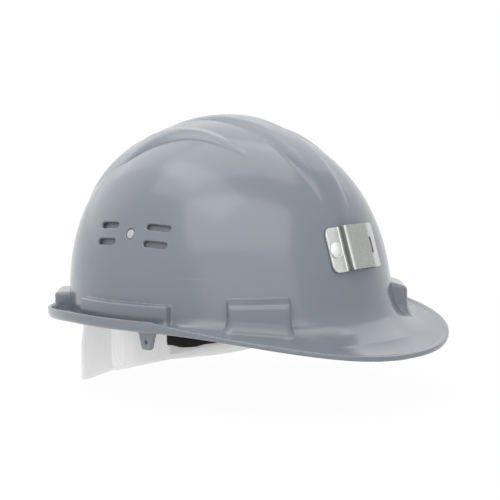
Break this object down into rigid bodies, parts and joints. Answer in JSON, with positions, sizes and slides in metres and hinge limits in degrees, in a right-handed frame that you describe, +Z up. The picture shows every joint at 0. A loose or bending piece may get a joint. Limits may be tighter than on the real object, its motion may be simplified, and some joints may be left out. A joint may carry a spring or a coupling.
{
  "type": "miner helmet",
  "caption": "Moulded miner's helmet with a short peak, rain gutter, steel lamp bracket, turning side vents, and a headband with an adjustable nape strap hung from crown straps.",
  "frame": {"origin": "centre of the overall box in plan, at the lowest point of the nape strap", "axes": "+Z up, -Y the way the peak points, -X the wearer's right"},
  "size_m": [0.2234, 0.2787, 0.1785],
  "materials": {
    "shell_plastic": "glossy blue-grey moulded plastic",
    "bracket_steel": "zinc-passivated sheet steel",
    "rivet_aluminium": "bright",
    "washer_steel": "plain",
    "clip_plastic": "black satin",
    "shutter_plastic": "satin grey, as the shell",
    "stud_plastic": "white",
    "key_plastic": "satin black",
    "strap_webbing": "woven webbing",
    "band_plastic": "milky translucent",
    "sweatband_fabric": "soft black knit over foam"
  },
  "bodies": {
    "helmet": {"shell": "shell_plastic", "lamp_bracket": "bracket_steel", "bracket_flange_rivet": "rivet_aluminium", "bracket_leaf_rivet": "rivet_aluminium", "bracket_washers": "washer_steel", "cable_clip": "clip_plastic", "cable_clip_rivet": "rivet_aluminium", "cable_clip_washer": "washer_steel", "suspension_key_front_right": "key_plastic", "suspension_key_front_left": "key_plastic", "suspension_key_rear_right": "key_plastic", "suspension_key_rear_left": "key_plastic", "crown_strap_right": "strap_webbing", "crown_strap_left": "strap_webbing", "crown_button": "key_plastic", "headband": "band_plastic", "sweatband": "sweatband_fabric"},
    "vent_right": {"vent_shutter_right": "shutter_plastic", "vent_stud_right": "stud_plastic"},
    "vent_left": {"vent_shutter_left": "shutter_plastic", "vent_stud_left": "stud_plastic"},
    "nape": {"nape_strap": "band_plastic", "size_stud_right": "stud_plastic", "size_stud_left": "stud_plastic"}
  },
  "joints": [
    {"name": "vent_right_turn", "type": "hinge", "parent": "helmet", "child": "vent_right", "pos_m": [-0.09156, 0.0107, 0.10671], "axis": [-0.945, -0.0438, 0.324], "range_deg": [0, 90]},
    {"name": "vent_left_turn", "type": "hinge", "parent": "helmet", "child": "vent_left", "pos_m": [0.09156, 0.0107, 0.10671], "axis": [0.945, -0.0438, 0.324], "range_deg": [0, 90]},
    {"name": "nape_slide", "type": "slide", "parent": "helmet", "child": "nape", "axis": [0, -1, 0], "range_m": [0, 0.02]}
  ]
}
